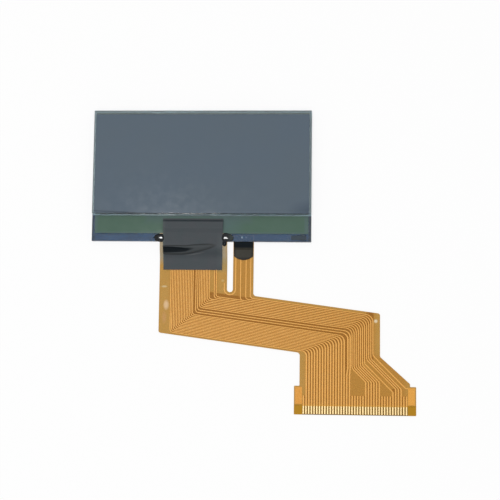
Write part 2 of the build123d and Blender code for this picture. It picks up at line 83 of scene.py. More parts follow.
# Sealant drops: summit, reach to the left and right and down and up, height, how flat the top is
# along X and Y (2 is round), and the lean of the top
left_drop = {
    "summit": (-7.36, -11.86, 1.045),
    "reach_x": (1.61, 0.40),
    "reach_y": (0.80, 0.80),
    "height": 0.40,
    "flatness": (3.8, 2.2),
    "lean": (-0.012, 0.075),
}
right_drop = {
    "summit": (4.56, -11.88, 1.045),
    "reach_x": (0.66, 1.64),
    "reach_y": (0.72, 1.02),
    "height": 0.40,
    "flatness": (4.3, 2.2),
    "lean": (0.031, 0.074),
}
right_run = {
    "summit": (4.50, -12.75, 1.10),
    "reach_x": (0.50, 0.40),
    "reach_y": (0.66, 0.60),
    "height": 0.24,
    "flatness": (2.0, 2.0),
    "lean": (0.0, -0.03),
}
drop_rings = 20
drop_sides = 48

# Clearance that keeps a clear layer from lying in the same plane as its neighbour
clear_gap_mm = 0.003

# Edges that turn by more than this stay sharp in a soft piece; points nearer than this are one
sharp_turn = math.radians(40)
merge_reach_m = 1e-7

# Tape: its path over the chip and down the step, as Y and Z of its underside, and its cut outline
tape_thickness_mm = 0.08
tape_lift_mm = 0.004
tape_ripple_mm = 0.006
tape_path_mm = (
    (-8.155, 1.060),
    (-8.455, 1.060),
    (-8.725, 1.375),
    (-9.965, 1.375),
    (-10.915, 1.155),
    (-12.835, 1.155),
)
step_foot_mm = (-16.435, 0.340)
tape_end_mm = -17.815
tape_left_mm = -7.23
tape_right_mm = 4.21
tape_left_taper_mm = 0.16
tape_right_taper_mm = 0.21
tape_cell_mm = 0.11

# The tape's crease: a fold that bulges off the film, with a hollow wedge that opens at the left edge
fold_centre_mm = (-4.5, -14.12)
fold_radii_mm = (7.65, 0.92)
# Width of the band of painted shade inside the fold's outline, in X and Y
fold_shade_band_mm = (0.45, 0.17)
fold_bend_from_mm = -2.9
fold_bend_slope = 0.155
fold_height_mm = 0.15
fold_shoulder = 0.35
wedge_centre_mm = (-7.3, -14.09)
wedge_radii_mm = (6.2, 0.62)
wedge_depth_mm = 0.13
wedge_shoulder = 0.45

# Plated contacts
contact_count = 39
contact_width_mm = 0.24
contact_crown_mm = 0.01
contact_lines_across = 7

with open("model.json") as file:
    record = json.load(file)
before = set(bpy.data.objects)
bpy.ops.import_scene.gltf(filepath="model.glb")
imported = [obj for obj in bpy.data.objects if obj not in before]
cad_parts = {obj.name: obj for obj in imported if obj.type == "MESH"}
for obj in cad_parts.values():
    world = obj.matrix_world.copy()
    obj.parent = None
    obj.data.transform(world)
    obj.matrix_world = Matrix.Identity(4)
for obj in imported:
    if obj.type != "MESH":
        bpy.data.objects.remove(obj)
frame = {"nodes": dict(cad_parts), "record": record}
nodes = frame["nodes"]
cad_low, cad_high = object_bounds()


def paint(red, green, blue):
    """A colour given as it looks on a screen, 0 to 255, as the linear colour that a shader takes."""
    channels = []
    for value in (red, green, blue):
        share = value / 255
        channels.append(share / 12.92 if share <= 0.04045 else ((share + 0.055) / 1.055) ** 2.4)
    return (*channels, 1.0)


def feed(tree, socket, value):
    """Links an input to another node's output, or sets its value."""
    if isinstance(value, bpy.types.NodeSocket):
        tree.links.new(value, socket)
    else:
        socket.default_value = value


def add(tree, kind, inputs=None, **settings):
    """Adds a shader or geometry node, with values or links for its inputs."""
    made = tree.nodes.new(kind)
    for key, value in settings.items():
        setattr(made, key, value)
    for key, value in (inputs or {}).items():
        feed(tree, made.inputs[key], value)
    return made


def reckon(tree, operation, first, second=0.0, clamp=False):
    """One step of arithmetic on a value."""
    made = add(tree, "ShaderNodeMath", {0: first, 1: second}, operation=operation, use_clamp=clamp)
    return made.outputs[0]


def reckon_vector(tree, operation, *vectors):
    """One step of arithmetic on vectors; gives the node, which has a vector and a value."""
    return add(tree, "ShaderNodeVectorMath", dict(enumerate(vectors)), operation=operation)


def remap(tree, value, old_range, new_range):
    """Maps a value from one range to another, and no further."""
    inputs = {"Value": value, "From Min": old_range[0], "From Max": old_range[1]}
    inputs.update({"To Min": new_range[0], "To Max": new_range[1]})
    return add(tree, "ShaderNodeMapRange", inputs).outputs[0]


def noise(tree, place, scale, detail):
    """Smooth noise around 0.5."""
    made = add(tree, "ShaderNodeTexNoise", {"Vector": place, "Scale": scale, "Detail": detail})
    return made.outputs[0]


def blend(tree, share, first, second):
    """Mixes two colours by a mask."""
    mix = add(tree, "ShaderNodeMix", {0: share}, data_type="RGBA", clamp_factor=True)
    feed(tree, mix.inputs[6], first)
    feed(tree, mix.inputs[7], second)
    return mix.outputs[2]


def new_group(name, output, **inputs):
    """An empty node group that reads a position and named values; gives its tree, inputs and end."""
    tree = bpy.data.node_groups.new(name, "ShaderNodeTree")
    tree.interface.new_socket("Position", in_out="INPUT", socket_type="NodeSocketVector")
    for label, value in inputs.items():
        kind = "NodeSocketVector" if isinstance(value, tuple) else "NodeSocketFloat"
        socket = tree.interface.new_socket(label.replace("_", " "), in_out="INPUT", socket_type=kind)
        socket.default_value = value
    tree.interface.new_socket(output, in_out="OUTPUT", socket_type="NodeSocketFloat")
    start = tree.nodes.new("NodeGroupInput")
    end = tree.nodes.new("NodeGroupOutput")
    return tree, start.outputs, end.inputs[output]


def grain_group():
    """Cloudy variation between two values."""
    tree, given, end = new_group("soft_grain", "Value", Scale=1.0, Low=0.0, High=1.0)
    cloud = noise(tree, given["Position"], given["Scale"], 3.0)
    tree.links.new(remap(tree, cloud, (0.3, 0.7), (given["Low"], given["High"])), end)
    return tree


def dust_group():
    """Sparse specks of dust."""
    tree, given, end = new_group("fine_dust", "Mask", Scale=4.0, Amount=0.5)
    cells = add(tree, "ShaderNodeTexVoronoi", {"Vector": given["Position"], "Scale": given["Scale"]})
    near = remap(tree, cells.outputs["Distance"], (0.05, 0.11), (1.0, 0.0))
    where = remap(tree, noise(tree, given["Position"], 0.6, 2.0), (0.5, 0.72), (0.0, given["Amount"]))
    tree.links.new(reckon(tree, "MULTIPLY", near, where), end)
    return tree


def scuff_group():
    """Faint straight rub marks along one direction."""
    tree, given, end = new_group("rub_marks", "Mask", Turn=0.0, Scale=1.0, Amount=1.0)
    turned = add(
        tree,
        "ShaderNodeVectorRotate",
        {"Vector": given["Position"], "Angle": given["Turn"]},
        rotation_type="Z_AXIS",
    )
    drawn = reckon_vector(tree, "MULTIPLY", turned.outputs[0], (0.12, 3.4, 1.0)).outputs[0]
    lines = noise(tree, drawn, given["Scale"], 2.0)
    tree.links.new(remap(tree, lines, (0.60, 0.70), (0.0, given["Amount"])), end)
    return tree


def box_group():
    """A rectangle with soft edges."""
    tree, given, end = new_group(
        "soft_rectangle", "Mask", Left=0.0, Right=1.0, Low=0.0, High=1.0, Softness=0.1
    )
    parts = add(tree, "ShaderNodeSeparateXYZ", {0: given["Position"]})
    inside = []
    for axis, low, high in ((0, "Left", "Right"), (1, "Low", "High")):
        inside.append(reckon(tree, "SUBTRACT", parts.outputs[axis], given[low]))
        inside.append(reckon(tree, "SUBTRACT", given[high], parts.outputs[axis]))
    depth = inside[0]
    for side in inside[1:]:
        depth = reckon(tree, "MINIMUM", depth, side)
    level = reckon(tree, "ADD", reckon(tree, "DIVIDE", depth, given["Softness"]), 0.5, clamp=True)
    tree.links.new(level, end)
    return tree


def oval_group():
    """An oval that fades out at its edge; past Bend From it leans up by Bend Slope."""
    tree, given, end = new_group(
        "soft_oval",
        "Mask",
        Centre=(0.0, 0.0, 0.0),
        Radii=(1.0, 1.0, 1.0),
        Softness=0.5,
        Bend_From=0.0,
        Bend_Slope=0.0,
    )
    parts = add(tree, "ShaderNodeSeparateXYZ", {0: given["Position"]})
    past = reckon(tree, "SUBTRACT", parts.outputs[0], given["Bend From"])
    risen = reckon(tree, "MULTIPLY", reckon(tree, "MAXIMUM", past, 0.0), given["Bend Slope"])
    level_y = reckon(tree, "SUBTRACT", parts.outputs[1], risen)
    bent = add(tree, "ShaderNodeCombineXYZ", {0: parts.outputs[0], 1: level_y}).outputs[0]
    away = reckon_vector(tree, "SUBTRACT", bent, given["Centre"]).outputs[0]
    scaled = reckon_vector(tree, "DIVIDE", away, given["Radii"]).outputs[0]
    flat = reckon_vector(tree, "MULTIPLY", scaled, (1.0, 1.0, 0.0)).outputs[0]
    left = reckon(tree, "SUBTRACT", 1.0, reckon_vector(tree, "LENGTH", flat).outputs["Value"])
    tree.links.new(reckon(tree, "DIVIDE", left, given["Softness"], clamp=True), end)
    return tree


def slant_group():
    """A slanting band with soft edges, between two heights at X = 0 and two limits in X."""
    tree, given, end = new_group(
        "soft_slant", "Mask", Left=0.0, Right=1.0, Low=0.0, High=1.0, Fall=0.1, Softness=0.1
    )
    parts = add(tree, "ShaderNodeSeparateXYZ", {0: given["Position"]})
    fallen = reckon(tree, "MULTIPLY", parts.outputs[0], given["Fall"])
    level_y = reckon(tree, "ADD", parts.outputs[1], fallen)
    straight = add(tree, "ShaderNodeCombineXYZ", {0: parts.outputs[0], 1: level_y}).outputs[0]
    mask = add(tree, "ShaderNodeGroup", node_tree=bpy.data.node_groups["soft_rectangle"])
    tree.links.new(straight, mask.inputs["Position"])
    for label in ("Left", "Right", "Low", "High", "Softness"):
        tree.links.new(given[label], mask.inputs[label])
    tree.links.new(mask.outputs[0], end)
    return tree


groups = {
    "grain": grain_group(),
    "dust": dust_group(),
    "scuff": scuff_group(),
    "box": box_group(),
    "oval": oval_group(),
    "slant": slant_group(),
}


class Finish:
    """A material in the making: one Principled shader and the position on the part in millimetres."""

    def __init__(self, name):
        """Starts the material with its shader, its output and its place."""
        self.material = bpy.data.materials.new(name)
        self.material.use_nodes = True
        self.tree = self.material.node_tree
        self.tree.nodes.clear()
        self.shader = self.tree.nodes.new("ShaderNodeBsdfPrincipled")
        output = self.tree.nodes.new("ShaderNodeOutputMaterial")
        self.tree.links.new(self.shader.outputs[0], output.inputs[0])
        place = self.tree.nodes.new("ShaderNodeTexCoord").outputs["Object"]
        in_millimetres = reckon_vector(self.tree, "MULTIPLY", place, (1 / MM, 1 / MM, 1 / MM))
        self.place = in_millimetres.outputs[0]

    def effect(self, name, **values):
        """One of the shared effects at this material's position."""
        used = add(self.tree, "ShaderNodeGroup", node_tree=groups[name])
        self.tree.links.new(self.place, used.inputs["Position"])
        for key, value in values.items():
            used.inputs[key.replace("_", " ")].default_value = value
        return used.outputs[0]

    def cloud(self, scale):
        """Cloudy variation from 0 to 1."""
        return self.effect("grain", Scale=scale, Low=0.0, High=1.0)

    def fold(self, radii, softness, centre=fold_centre_mm):
        """The outline of the tape's fold, or of the wedge in it."""
        return self.effect(
            "oval",
            Centre=(*centre, 0),
            Radii=(*radii, 1),
            Softness=softness,
            Bend_From=fold_bend_from_mm,
            Bend_Slope=fold_bend_slope,
        )

    def mix(self, share, first, second):
        """Mixes two colours by a mask."""
        return blend(self.tree, share, first, second)

    def scale(self, value, factor):
        """Makes a mask weaker."""
        return reckon(self.tree, "MULTIPLY", value, factor)

    def bump(self, height, depth_mm, strength=1.0):
        """Turns a height pattern into a normal."""
        inputs = {"Height": height, "Distance": depth_mm * MM, "Strength": strength}
        self.set(Normal=add(self.tree, "ShaderNodeBump", inputs).outputs[0])

    def set(self, **values):
        """Sets or links the shader's own sockets."""
        for key, value in values.items():
            feed(self.tree, self.shader.inputs[key.replace("_", " ")], value)


def glass_finish():
    """Clear sheet glass, faintly blue-green, with a few smears; the front plate's sides are dull."""
    glass = Finish("cut_display_glass")
    smear = glass.effect("grain", Scale=0.5, Low=0.0, High=0.012)
    height = add(glass.tree, "ShaderNodeSeparateXYZ", {0: glass.place}).outputs[2]
    on_front = reckon(glass.tree, "GREATER_THAN", height, between_plates_mm)
    face = glass.effect("box", **front_face_mm, Softness=0.01)
    side = reckon(glass.tree, "MULTIPLY", on_front, reckon(glass.tree, "SUBTRACT", 1.0, face))
    cloud = glass.cloud(0.35)
    glass.set(
        Base_Color=glass.mix(cloud, (0.600, 0.685, 0.710, 1), (0.625, 0.705, 0.725, 1)),
        Roughness=reckon(glass.tree, "ADD", smear, glass.scale(side, side_dullness)),
        Transmission_Weight=1.0,
        IOR=1.5,
    )
    return glass.material


def polarizer_finish():
    """Grey-blue polarizing film with a darker corner and a painted shadow line aslant at its lower left
    edge.
    """
    film = Finish("grey_blue_polarizer")
    cloud = film.cloud(0.09)
    colour = film.mix(cloud, (0.070, 0.102, 0.138, 1), (0.073, 0.103, 0.133, 1))
    corner = film.effect("oval", Centre=(20.6, -6.9, 0), Radii=(4.6, 2.4, 1), Softness=0.9)
    colour = film.mix(film.scale(corner, 0.75), colour, (0.030, 0.052, 0.082, 1))
    # Painted shadow: a dark line aslant along the film's lower left edge.
    lower_left_shadow = film.effect(
        "slant", Left=-21.5, Right=-12.2, Low=-7.76, High=-7.52, Fall=0.037, Softness=0.12
    )
    colour = film.mix(film.scale(lower_left_shadow, 0.85), colour, (0.026, 0.044, 0.062, 1))
    dust = film.effect("dust", Scale=1.6, Amount=0.10)
    colour = film.mix(dust, colour, (0.32, 0.35, 0.38, 1))
    film.set(
        Base_Color=colour,
        Roughness=film.effect("grain", Scale=0.8, Low=0.07, High=0.11),
        IOR=1.48,
    )
    film.bump(film.cloud(0.22), 0.003, 0.35)
    return film.material


def reflector_finish():
    """Silver-white film with a fine satin grain."""
    film = Finish("satin_reflector")
    marks = film.effect("scuff", Turn=0.4, Scale=2.0, Amount=0.35)
    film.set(
        Base_Color=film.mix(marks, paint(206, 209, 212), paint(184, 188, 192)),
        Metallic=0.35,
        Roughness=film.effect("grain", Scale=3.0, Low=0.34, High=0.48),
    )
    return film.material


def mask_film_finish():
    """Dark blue film with two specks, painted light under the front glass's edge, and dark at its other
    edges.
    """
    film = Finish("dark_blue_mask_film")
    cloud = film.cloud(0.25)
    colour = film.mix(cloud, (0.004, 0.089, 0.252, 1), (0.008, 0.099, 0.272, 1))
    specks = ((7.74, 0.20, 0.9), (8.52, 0.14, 0.5))
    for x, radius, strength in specks:
        radii = (radius, radius * 1.2, 1)
        speck = film.effect("oval", Centre=(x, -11.65, 0), Radii=radii, Softness=0.6)
        colour = film.mix(film.scale(speck, strength), colour, (0.55, 0.75, 0.95, 1))
    # Painted light: a pale strip under the front glass's edge, a painted white line along its left part,
    # and less of that painted light above the tape.
    painted_glow_under_edge = film.effect("box", Left=-21.0, Right=21.0, Low=-7.53, High=-6.80, Softness=0.15)
    colour = film.mix(painted_glow_under_edge, colour, (0.84, 0.94, 1.0, 1))
    painted_light_line = film.effect(
        "slant", Left=-21.0, Right=-4.0, Low=-7.58, High=-7.22, Fall=0.0146, Softness=0.12
    )
    colour = film.mix(painted_light_line, colour, (1.0, 1.0, 1.0, 1))
    above_tape = film.effect("box", Left=-4.8, Right=1.6, Low=-7.65, High=-6.80, Softness=1.0)
    colour = film.mix(film.scale(above_tape, 0.75), colour, (0.05, 0.16, 0.24, 1))
    right_end = film.effect("box", Left=20.25, Right=21.0, Low=-13.0, High=-7.65, Softness=0.15)
    colour = film.mix(film.scale(right_end, 0.8), colour, (0.010, 0.020, 0.035, 1))
    left_end = film.effect("box", Left=-21.0, Right=-20.15, Low=-13.0, High=-7.65, Softness=0.15)
    colour = film.mix(film.scale(left_end, 0.6), colour, (0.010, 0.040, 0.090, 1))
    low_edge = film.effect("box", Left=-9.0, Right=21.0, Low=-12.60, High=-12.33, Softness=0.15)
    colour = film.mix(film.scale(low_edge, 0.6), colour, (0.010, 0.025, 0.060, 1))
    film.set(
        Base_Color=colour,
        Roughness=film.effect("grain", Scale=2.0, Low=0.40, High=0.52),
        Specular_IOR_Level=0.2,
    )
    return film.material


def resin_finish(name, light, dark, roughness):
    """Cured resin, slightly cloudy."""
    resin = Finish(name)
    cloud = resin.cloud(1.3)
    resin.set(Base_Color=resin.mix(cloud, light, dark), Roughness=roughness)
    return resin.material


def coating_finish():
    """Green coating over the ledge's leads, bluer at its rim, in the middle and beside the tape."""
    coat = Finish("green_lead_coating")
    cloud = coat.cloud(0.4)
    colour = coat.mix(cloud, (0.062, 0.118, 0.086, 1), (0.070, 0.126, 0.094, 1))
    beside = coat.effect("oval", Centre=(4.3, -9.2, 0), Radii=(4.4, 3.4, 1), Softness=0.8)
    colour = coat.mix(coat.scale(beside, 0.85), colour, (0.074, 0.125, 0.120, 1))
    middle = coat.effect("box", Left=-10.5, Right=9.5, Low=-8.9, High=-7.0, Softness=1.2)
    colour = coat.mix(coat.scale(middle, 0.55), colour, (0.072, 0.115, 0.115, 1))
    rim = coat.effect("box", Left=-19.7, Right=19.5, Low=-10.75, High=-7.2, Softness=0.4)
    colour = coat.mix(rim, (0.075, 0.125, 0.115, 1), colour)
    coat.set(
        Base_Color=colour,
        Roughness=coat.effect("grain", Scale=1.2, Low=0.04, High=0.07),
        Specular_IOR_Level=0.25,
    )
    coat.bump(coat.cloud(0.7), 0.002, 0.1)
    return coat.material


def mark_finish():
    """Plain dark print on the glass."""
    mark = Finish("plain_dark_print")
    cloud = mark.cloud(2.2)
    mark.set(
        Base_Color=mark.mix(cloud, paint(22, 41, 54), paint(32, 50, 62)),
        Roughness=mark.effect("grain", Scale=4.0, Low=0.16, High=0.24),
        Specular_IOR_Level=0.3,
    )
    return mark.material


def chip_finish():
    """Ground back of a bare silicon chip."""
    chip = Finish("ground_silicon")
    marks = chip.effect("scuff", Turn=0.9, Scale=6.0, Amount=0.6)
    chip.set(
        Base_Color=chip.mix(marks, (0.035, 0.036, 0.042, 1), (0.075, 0.077, 0.085, 1)),
        Metallic=0.4,
        Roughness=chip.effect("grain", Scale=6.0, Low=0.25, High=0.36),
    )
    return chip.material


def tape_finish():
    """Black satin tape with a fibre grain, paler sides, dust, and painted light: shade in the fold,
    near-black shade in the wedge, a highlight on the fold's ridge.
    """
    tape = Finish("black_shield_tape")
    cloud = tape.cloud(0.45)
    colour = tape.mix(cloud, (0.025, 0.037, 0.043, 1), (0.032, 0.038, 0.045, 1))
    fibre = tape.cloud(11.0)
    colour = tape.mix(tape.scale(fibre, 0.35), colour, (0.021, 0.023, 0.026, 1))
    left_side = tape.effect("box", Left=-9.0, Right=-6.9, Low=-17.0, High=-8.6, Softness=0.5)
    colour = tape.mix(tape.scale(left_side, 0.5), colour, (0.055, 0.075, 0.070, 1))
    right_side = tape.effect("box", Left=3.3, Right=6.0, Low=-17.0, High=-11.5, Softness=0.8)
    colour = tape.mix(tape.scale(right_side, 0.6), colour, (0.040, 0.052, 0.056, 1))
    # Painted shade in the fold: darkest along its outline, a little lighter inside, and near-black in the
    # wedge's hollow.
    colour = tape.mix(tape.fold(fold_radii_mm, 0.10), colour, (0.010, 0.012, 0.013, 1))
    inner = [radius - rim for radius, rim in zip(fold_radii_mm, fold_shade_band_mm)]
    colour = tape.mix(tape.fold(inner, 0.16), colour, (0.022, 0.028, 0.031, 1))
    wedge = tape.fold(wedge_radii_mm, 0.20, wedge_centre_mm)
    colour = tape.mix(wedge, colour, (0.0015, 0.004, 0.006, 1))
    # A painted highlight along the fold's lower ridge.
    lit = tape.effect(
        "oval",
        Centre=(-1.2, -15.0, 0),
        Radii=(2.4, 0.14, 1),
        Softness=0.9,
        Bend_From=-2.0,
        Bend_Slope=0.17,
    )
    colour = tape.mix(tape.scale(lit, 0.8), colour, (0.075, 0.082, 0.084, 1))
    full_sheen = 0.52
    sheen = reckon(tape.tree, "SUBTRACT", full_sheen, tape.scale(wedge, full_sheen))
    dust = tape.effect("dust", Scale=2.6, Amount=0.12)
    colour = tape.mix(dust, colour, (0.12, 0.13, 0.15, 1))
    tape.set(
        Base_Color=colour,
        Roughness=tape.effect("grain", Scale=3.0, Low=0.50, High=0.62),
        Specular_IOR_Level=0.09,
        Coat_Weight=sheen,
        Coat_Roughness=0.56,
    )
    tape.bump(fibre, 0.004, 0.5)
    return tape.material


def sealant_finish():
    """Glossy black sealant, greyer at the right drop's thin end, dull on the narrow tab and the run."""
    sealant = Finish("glossy_black_sealant")
    cloud = sealant.cloud(1.0)
    colour = sealant.mix(cloud, (0.0045, 0.0060, 0.0075, 1), (0.007, 0.009, 0.011, 1))
    thin_end = sealant.effect("box", Left=5.3, Right=7.0, Low=-13.0, High=-10.0, Softness=0.8)
    colour = sealant.mix(thin_end, colour, (0.030, 0.038, 0.036, 1))
    on_bead = sealant.effect("box", Left=6.0, Right=11.0, Low=-14.2, High=-12.47, Softness=0.02)
    colour = sealant.mix(on_bead, colour, (0.0025, 0.0055, 0.0080, 1))
    bead_foot = sealant.effect("box", Left=6.0, Right=11.0, Low=-14.5, High=-13.60, Softness=0.35)
    colour = sealant.mix(bead_foot, colour, (0.032, 0.030, 0.023, 1))
    on_run = sealant.effect("box", Left=3.9, Right=5.3, Low=-13.6, High=-12.62, Softness=0.15)
    full_gloss = 0.64
    dull = sealant.scale(reckon(sealant.tree, "MAXIMUM", on_bead, on_run), full_gloss)
    sealant.set(
        Base_Color=colour,
        Roughness=sealant.effect("grain", Scale=3.0, Low=0.05, High=0.10),
        Specular_IOR_Level=0.18,
        IOR=1.33,
        Coat_Weight=reckon(sealant.tree, "SUBTRACT", full_gloss, dull),
        Coat_Roughness=0.07,
        Coat_IOR=1.33,
    )
    return sealant.material


def shield_finish():
    """Thin coat of sealant, darker at its rounded rim than in the middle."""
    coat = Finish("thin_sealant_coat")
    middle = coat.effect("box", Left=6.45, Right=9.65, Low=-15.5, High=-13.4, Softness=0.6)
    colour = coat.mix(middle, (0.006, 0.006, 0.006, 1), (0.036, 0.034, 0.026, 1))
    cloud = coat.effect("grain", Scale=1.6, Low=0.0, High=0.35)
    colour = coat.mix(cloud, colour, (0.030, 0.027, 0.021, 1))
    coat.set(
        Base_Color=colour,
        Roughness=coat.effect("grain", Scale=3.0, Low=0.22, High=0.30),
        Specular_IOR_Level=0.10,
        IOR=1.33,
    )
    return coat.material


# Where the conductors run close together (the wide tab's bundles and far pair, the slanting band, the
# neck, the fan and the row of contacts) and where they run loosely (the narrow tab and round the fan)
band_fall = math.tan(math.radians(7.5))
dense_zones = (
    ("box", {"Left": -5.70, "Right": 1.76, "Low": -26.0, "High": -10.0}),
    ("box", {"Left": 2.55, "Right": 3.06, "Low": -24.0, "High": -10.0}),
    ("slant", {"Left": -5.3, "Right": 32.45, "Low": -30.36, "High": -21.74, "Fall": band_fall}),
    ("box", {"Left": 19.89, "Right": 28.2, "Low": -43.0, "High": -28.0}),
    ("slant", {"Left": 28.1, "Right": 32.45, "Low": -53.6, "High": -45.0, "Fall": -0.62}),
    ("slant", {"Left": 28.4, "Right": 33.6, "Low": -7.6, "High": -4.8, "Fall": 1.0}),
    ("slant", {"Left": 31.0, "Right": 37.5, "Low": -3.25, "High": -2.05, "Fall": 1.0}),
    ("box", {"Left": 30.9, "Right": 33.65, "Low": -43.0, "High": -38.4}),
    ("box", {"Left": 35.9, "Right": 37.65, "Low": -43.0, "High": -39.6}),
    ("box", {"Left": 19.39, "Right": 38.65, "Low": -43.0, "High": -41.0}),
)
loose_zones = (
    ("box", {"Left": 6.4, "Right": 9.6, "Low": -24.0, "High": -10.0}),
    ("box", {"Left": 28.0, "Right": 38.4, "Low": -43.0, "High": -33.5}),
)


def base_film_finish():
    """Amber film: pale where bare, with painted shade that is browner near the conductors and darkest
    between them, and a painted grey sheen on the step.
    """
    film = Finish("amber_base_film")
    cloud = film.cloud(0.35)
    colour = film.mix(cloud, (0.545, 0.315, 0.078, 1), (0.525, 0.300, 0.070, 1))
    # Painted shade: the film is browner near the conductors and darkest between them, where the copper
    # shades it.
    for shape, limits in dense_zones + loose_zones:
        near = film.effect(shape, **limits, Softness=1.1)
        colour = film.mix(film.scale(near, 0.9), colour, (0.510, 0.248, 0.045, 1))
    for shape, limits in dense_zones:
        between = film.effect(shape, **limits, Softness=0.12)
        colour = film.mix(between, colour, (0.345, 0.140, 0.018, 1))
    # A painted grey sheen on the step's slope.
    painted_step_sheen = film.effect("box", Left=-8.5, Right=5.2, Low=-16.2, High=-11.0, Softness=1.6)
    colour = film.mix(film.scale(painted_step_sheen, 0.85), colour, (0.365, 0.362, 0.290, 1))
    beside_tape = film.effect("box", Left=3.0, Right=5.2, Low=-18.0, High=-15.6, Softness=0.8)
    colour = film.mix(film.scale(beside_tape, 0.6), colour, (0.330, 0.285, 0.130, 1))
    ear_ends = film.effect("box", Left=17.0, Right=41.0, Low=-46.0, High=-42.7, Softness=0.2)
    colour = film.mix(ear_ends, colour, (0.430, 0.215, 0.012, 1))
    at_contacts = film.effect("box", Left=19.3, Right=38.75, Low=-46.0, High=-43.0, Softness=0.2)
    colour = film.mix(at_contacts, colour, (0.190, 0.108, 0.020, 1))
    spots = (
        ((-6.84, -20.98, 0), (0.66, 0.24, 1), 0.55, (0.80, 0.76, 0.50, 1)),
        ((-6.43, -24.45, 0), (0.62, 1.10, 1), 0.75, (0.90, 0.67, 0.43, 1)),
        ((-6.75, -26.80, 0), (0.55, 1.40, 1), 0.40, (0.66, 0.36, 0.18, 1)),
        ((4.19, -19.80, 0), (0.38, 0.32, 1), 0.32, (0.80, 0.70, 0.36, 1)),
        ((32.86, -27.16, 0), (0.42, 0.42, 1), 0.85, (0.95, 0.88, 0.66, 1)),
    )
    for centre, radii, strength, light in spots:
        spot = film.effect("oval", Centre=centre, Radii=radii, Softness=0.6)
        colour = film.mix(film.scale(spot, strength), colour, light)
    film.set(
        Base_Color=colour,
        Roughness=film.effect("grain", Scale=2.0, Low=0.42, High=0.55),
        Specular_IOR_Level=0.08,
    )
    film.bump(film.cloud(0.9), 0.004, 0.3)
    return film.material


def cover_film_finish():
    """Thin clear amber film over the copper."""
    film = Finish("clear_amber_cover_film")
    cloud = film.cloud(0.5)
    film.set(
        Base_Color=film.mix(cloud, (0.48, 0.24, 0.045, 1), (0.44, 0.22, 0.040, 1)),
        Roughness=film.effect("grain", Scale=1.5, Low=0.30, High=0.42),
        Alpha=0.08,
        Specular_IOR_Level=0.12,
    )
    film.material.surface_render_method = "BLENDED"
    return film.material


def stiffener_finish():
    """Stiff amber sheet with a faint laminate grain."""
    sheet = Finish("amber_stiffener")
    marks = sheet.effect("scuff", Turn=0.0, Scale=1.6, Amount=0.4)
    sheet.set(
        Base_Color=sheet.mix(marks, (0.42, 0.24, 0.055, 1), (0.50, 0.30, 0.085, 1)),
        Roughness=sheet.effect("grain", Scale=2.5, Low=0.40, High=0.55),
        Specular_IOR_Level=0.3,
    )
    return sheet.material


def copper_finish():
    """Etched copper foil, slightly cloudy, and deeper in colour on the ears' pads."""
    copper = Finish("etched_copper")
    cloud = copper.cloud(0.6)
    colour = copper.mix(cloud, (0.790, 0.405, 0.075, 1), (0.820, 0.425, 0.085, 1))
    pads = (
        (17.5, 19.3, (0.690, 0.300, 0.022, 1)),
        (38.75, 40.5, (0.770, 0.365, 0.040, 1)),
    )
    for left, right, shade in pads:
        pad = copper.effect("box", Left=left, Right=right, Low=-42.8, High=-39.2, Softness=0.05)
        colour = copper.mix(pad, colour, shade)
    copper.set(
        Base_Color=colour,
        Metallic=0.15,
        Roughness=copper.effect("grain", Scale=5.0, Low=0.42, High=0.55),
    )
    return copper.material


def contact_finish():
    """Pale gold plating with fine rub marks from the connector."""
    gold = Finish("pale_gold_plating")
    marks = gold.effect("scuff", Turn=math.pi / 2, Scale=5.0, Amount=0.5)
    gold.set(
        Base_Color=gold.mix(marks, (0.70, 0.52, 0.245, 1), (0.60, 0.42, 0.180, 1)),
        Metallic=0.35,
        Roughness=gold.effect("grain", Scale=8.0, Low=0.36, High=0.44),
    )
    return gold.material


finishes = {
    "glass": glass_finish(),
    "polarizer": polarizer_finish(),
    "reflector": reflector_finish(),
    "mask": mask_film_finish(),
    "seal": resin_finish("cured_seal_resin", paint(150, 152, 140), paint(138, 141, 130), 0.5),
    "liquid_crystal": resin_finish("liquid_crystal_sheet", paint(92, 104, 114), paint(86, 99, 110), 0.25),
    "coating": coating_finish(),
    "mark": mark_finish(),
    "silicon": chip_finish(),
    "bond": resin_finish("conductive_bond_film", paint(150, 140, 112), paint(132, 122, 98), 0.6),
    "tape": tape_finish(),
    "sealant": sealant_finish(),
    "shield": shield_finish(),
    "amber_film": base_film_finish(),
    "cover": cover_film_finish(),
    "stiffener": stiffener_finish(),
    "copper": copper_finish(),
    "contact": contact_finish(),
}

node_slots = {row["node"]: row["material_slot"] for row in frame["record"]["subparts"]}


def dress_node(name):
    """Gives a node of the frame the finish of its slot."""
    mesh = nodes[name].data
    mesh.materials.clear()
    mesh.materials.append(finishes[node_slots[name]])


def finish_piece(piece, slot, *stands_for):
    """Gives a new piece its finish and its place on the part."""
    piece.data.materials.clear()
    piece.data.materials.append(finishes[slot])
    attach(piece, "root")
    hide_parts(*stands_for)


def new_piece(name, mesh):
    """A new object in the scene that shows the mesh."""
    piece = bpy.data.objects.new(name, mesh)
    bpy.context.scene.collection.objects.link(piece)
    return piece


def piece_from(shape, name):
    """A new piece with the faces of a shape, which is used up."""
    mesh = bpy.data.meshes.new(name)
    shape.to_mesh(mesh)
    shape.free()
    return new_piece(name, mesh)


def soften(shape):
    """Shades a shape smoothly, apart from its sharp edges."""
    bmesh.ops.recalc_face_normals(shape, faces=shape.faces[:])
    for face in shape.faces:
        face.smooth = True
    for edge in shape.edges:
        if edge.calc_face_angle(0.0) > sharp_turn:
            edge.smooth = False


